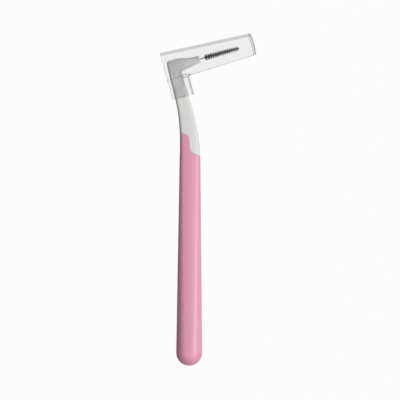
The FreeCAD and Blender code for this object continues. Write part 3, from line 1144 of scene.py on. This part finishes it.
class BRUSH_OT_cap(bpy.types.Operator):
    """Build the clear cap: a tapering box over the brush, with a channel that rides on the neck"""

    bl_idname = "brush.cap"
    bl_label = "Clear cap"

    end_round: share("End round", 0.6, "How much of the closed end is curved")
    overcut: length("Overcut", 1.0, "How far a cut runs out past an open end")
    crisp_angle: angle("Crisp angle", 28.0, "Edges that turn by more than this are softened")
    flat_angle: angle("Flat angle", 0.5, "Faces that turn by less than this are joined")

    corner_steps = 6
    inner_corner_steps = 3
    edge_steps = 6
    soft_edge_steps = 2
    # Places on the cap that are nearer to each other than this count as one
    weld = 1e-6
    flat_face_weight = 80

    def execute(self, context):
        cap = context.scene.brush_cap
        origin = crossing_point(context.scene.brush_head)
        piece = self.box(cap, 0.0, self.corner_steps)
        shape = open_mesh(piece)
        self.bevel(piece, shape, self.long_edges(shape, cap), cap.edge_radius, self.edge_steps, False)
        channel_top = cap.wall / 2 - channel_floor(cap)
        channel_half = cap.channel_depth / 2
        carve(piece, self.bar(cap, cap.channel_right, channel_half + cap.wall, channel_top, True), "UNION")
        carve(piece, self.box(cap, cap.wall, self.inner_corner_steps), "DIFFERENCE")
        carve(piece, self.bar(cap, cap.channel_right - cap.wall, channel_half, channel_top), "DIFFERENCE")
        carve(piece, self.bar(cap, cap.seat, channel_half, 0.0), "DIFFERENCE")
        shape = open_mesh(piece)
        self.bevel(piece, shape, self.crisp_edges(shape), cap.soft_edge, self.soft_edge_steps, True)
        piece.data.transform(Matrix.Translation(origin))
        piece.name = "cap"
        piece.data.name = "cap"
        piece.data.shade_smooth()
        weighted = piece.modifiers.new("flat_faces", "WEIGHTED_NORMAL")
        weighted.weight = self.flat_face_weight
        dress(piece, "cap", "cap_clear", clear_cap_finish(cap, origin), "protective_cap")
        return {"FINISHED"}

    def box(self, cap, inset, steps):
        """The tapering box, or with an inset the space inside it, which runs out past the open end."""
        is_space = inset > 0
        half_depth = (cap_high.z - cap_low.z) / 2 - inset
        right = cap.right - cap.bulge - (cap.end_wall if is_space else 0.0)
        roof_inset = cap.roof_wall if is_space else 0.0
        half_end = (cap.tip_roof + cap.tip_floor) / 2 - inset
        peak = cap.bulge / (1 - self.end_round / 2)
        end_radius = self.end_round * math.hypot(half_end, peak) * half_end / peak
        start = -cap.left - (self.overcut if is_space else 0.0)
        past_mouth = (-cap.left - start) / (right + cap.left)
        roof = cap.mouth_roof + (cap.mouth_roof - cap.tip_roof) * past_mouth
        floor = cap.mouth_floor + (cap.mouth_floor - cap.tip_floor) * past_mouth
        corners = [
            (start, inset - floor, 0),
            (right, inset - cap.tip_floor, cap.corner_radius - inset),
            (right + peak, (cap.tip_roof - cap.tip_floor) / 2, end_radius),
            (right, cap.tip_roof - roof_inset, cap.corner_radius - inset),
            (start, roof - roof_inset, 0),
        ]
        return add_object("cap_box", outline_solid(rounded(corners, steps), -half_depth, half_depth))

    def bar(self, cap, right, half_depth, top, is_wall=False):
        """A bar down the neck from a given height: the channel's wall, or a cut that runs out past it."""
        edge_radius = cap.edge_radius if is_wall else 0.0
        overcut = 0.0 if is_wall else self.overcut
        left = -cap.left - overcut
        bottom = -cap.mouth_floor - cap.channel_drop - overcut
        corners = [
            (left, -half_depth, 0),
            (right, -half_depth, edge_radius),
            (right, half_depth, edge_radius),
            (left, half_depth, 0),
        ]
        shape = outline_solid(rounded(corners, self.corner_steps), bottom, top)
        for vert in shape.verts:
            vert.co = vert.co.xzy
        bmesh.ops.recalc_face_normals(shape, faces=shape.faces)
        return add_object("cap_bar", shape)

    def bevel(self, piece, shape, edges, radius, steps, is_clamped):
        """Rounds edges of a mesh in the making, and gives it back to its piece."""
        bmesh.ops.bevel(
            shape, geom=edges, offset=radius, offset_type="OFFSET", segments=steps, profile=0.5,
            affect="EDGES", clamp_overlap=is_clamped,
        )
        shape.to_mesh(piece.data)
        shape.free()

    def long_edges(self, shape, cap):
        """The edges of the front and back, without those of the open end."""
        chosen = []
        for edge in shape.edges:
            first, second = (vert.co for vert in edge.verts)
            is_level = abs(first.z - second.z) < self.weld
            if is_level and max(first.x, second.x) > self.weld - cap.left:
                chosen.append(edge)
        return chosen

    def crisp_edges(self, shape):
        """The edges that are still crisp, after the remains of the cuts are cleared away."""
        bmesh.ops.remove_doubles(shape, verts=shape.verts, dist=self.weld)
        bmesh.ops.dissolve_limit(
            shape, angle_limit=self.flat_angle, verts=shape.verts, edges=shape.edges,
        )
        whole = [edge for edge in shape.edges if edge.is_manifold]
        return [edge for edge in whole if edge.calc_face_angle(0) > self.crisp_angle]


class BRUSH_OT_stage(bpy.types.Operator):
    """Set up the pale floor, the soft lights and the camera that looks straight down"""

    bl_idname = "brush.stage"
    bl_label = "Stage"

    def execute(self, context):
        stage = context.scene.brush_stage
        cosine = math.cos(stage.picture_turn)
        sine = math.sin(stage.picture_turn)
        self.right = Vector((cosine, -sine, 0))
        self.up = Vector((sine, cosine, 0))
        context.scene.view_settings.view_transform = "Standard"
        self.floor(stage)
        self.world(context, stage)
        self.lamp(context, "key_light", stage.key_power, stage.key_size, stage.key_place)
        self.lamp(context, "top_light", stage.top_power, stage.top_size, stage.top_place)
        self.camera(context, stage)
        return {"FINISHED"}

    def seen(self, finish):
        """1 for what is seen directly, mirrored or through the clear cap, and 0 for light that bounces."""
        camera, glossy, through, bounces = (
            finish.node("ShaderNodeLightPath", out=name)
            for name in ("Is Camera Ray", "Is Glossy Ray", "Is Transmission Ray", "Diffuse Depth")
        )
        return (camera + glossy + through - bounces).at_most(1.0).at_least(0.0)

    def floor(self, stage):
        """A wide floor that is seen as white and keeps a little of the object's shadow."""
        shape = bmesh.new()
        reach = stage.floor_reach
        corners = [(-reach, -reach), (reach, -reach), (reach, reach), (-reach, reach)]
        shape.faces.new([shape.verts.new((x, y, -stage.floor_drop)) for x, y in corners])
        floor = add_object("floor", shape)
        finish = Finish(bpy.data.materials.new("pale_floor"))
        paper = finish.noise(scale=40.0, detail=3.0)
        tone = finish.blend(paper, rgba(stage.floor_dark), rgba(stage.floor_light))
        lit = finish.node("ShaderNodeBsdfDiffuse", None, {"Color": tone})
        white = finish.node("ShaderNodeEmission", None, {"Color": WHITE, "Strength": 1.0})
        amount = self.seen(finish) * stage.floor_white
        finish.output(finish.node("ShaderNodeMixShader", None, {0: amount, 1: lit, 2: white}))
        floor.data.materials.append(finish.owner)

    def world(self, context, stage):
        """A room that is seen as white, dimmer overhead, and lights softly from the picture's right."""
        world = bpy.data.worlds.new("soft_room")
        context.scene.world = world
        finish = Finish(world)
        direction = finish.node("ShaderNodeTexCoord", out="Generated")
        overhead = finish.step(finish.dot(direction, UP), stage.overhead_low, stage.overhead_high)
        seen = self.seen(finish) * (1.0 - stage.overhead_dim * overhead)
        sideways = finish.dot(direction, (self.right - self.up * stage.sky_drop).normalized())
        sky = (stage.sky * (stage.sky_even + stage.sky_side * sideways)).at_least(stage.sky_least)
        sockets = {
            "Color": finish.blend(seen, rgba(stage.sky_colour), WHITE),
            "Strength": sky + seen * (1.0 - sky),
        }
        finish.output(finish.node("ShaderNodeBackground", None, sockets), "ShaderNodeOutputWorld")

    def lamp(self, context, name, power, size, offset):
        """A square soft light that points at the middle of the part."""
        light = bpy.data.lights.new(name, "AREA")
        light.energy = power
        light.shape = "SQUARE"
        light.size = size
        made = bpy.data.objects.new(name, light)
        made.location = self.right * offset[0] + self.up * offset[1] + UP * offset[2]
        made.rotation_mode = "QUATERNION"
        made.rotation_quaternion = (made.location * -1).to_track_quat("-Z", "Y")
        made.visible_camera = False
        context.scene.collection.objects.link(made)

    def camera(self, context, stage):
        """A camera that looks straight down, turned so that the handle stands as it should."""
        data = bpy.data.cameras.new("camera")
        data.sensor_width = 36.0
        data.lens = data.sensor_width * stage.camera_height / stage.picture_width
        data.clip_start = 0.01
        data.clip_end = 20.0
        made = bpy.data.objects.new("camera", data)
        turn = Matrix((self.right, self.up, UP)).transposed().to_4x4()
        made.matrix_world = Matrix.Translation(Vector(stage.camera_aim) + UP * stage.camera_height) @ turn
        context.scene.collection.objects.link(made)
        context.scene.camera = made


class BRUSH_PT_panel(bpy.types.Panel):
    """Lists the pieces of the brush in the sidebar"""

    bl_label = "Interdental Brush"
    bl_idname = "BRUSH_PT_panel"
    bl_space_type = "VIEW_3D"
    bl_region_type = "UI"
    bl_category = "Brush"

    def draw(self, context):
        for operator in piece_operators:
            self.layout.operator(operator.bl_idname)


piece_operators = (
    BRUSH_OT_core, BRUSH_OT_grip, BRUSH_OT_wire, BRUSH_OT_filaments, BRUSH_OT_cap, BRUSH_OT_stage,
)
setting_groups = {
    "brush_handle": HandleSettings,
    "brush_head": HeadSettings,
    "brush_wire": BrushSettings,
    "brush_cap": CapSettings,
    "brush_stage": StageSettings,
}


def register():
    """Makes the settings, the operators and the panel known to Blender."""
    for group in setting_groups.values():
        bpy.utils.register_class(group)
    for operator in piece_operators:
        bpy.utils.register_class(operator)
    bpy.utils.register_class(BRUSH_PT_panel)
    for name, group in setting_groups.items():
        setattr(bpy.types.Scene, name, bpy.props.PointerProperty(type=group))


def unregister():
    """Takes them away again."""
    for name in setting_groups:
        delattr(bpy.types.Scene, name)
    bpy.utils.unregister_class(BRUSH_PT_panel)
    for operator in reversed(piece_operators):
        bpy.utils.unregister_class(operator)
    for group in reversed(setting_groups.values()):
        bpy.utils.unregister_class(group)


def main():
    """Builds every piece and the stage."""
    register()
    bpy.ops.brush.core()
    bpy.ops.brush.grip()
    bpy.ops.brush.wire()
    bpy.ops.brush.filaments()
    bpy.ops.brush.cap()
    bpy.ops.brush.stage()


if __name__ == "__main__":
    main()
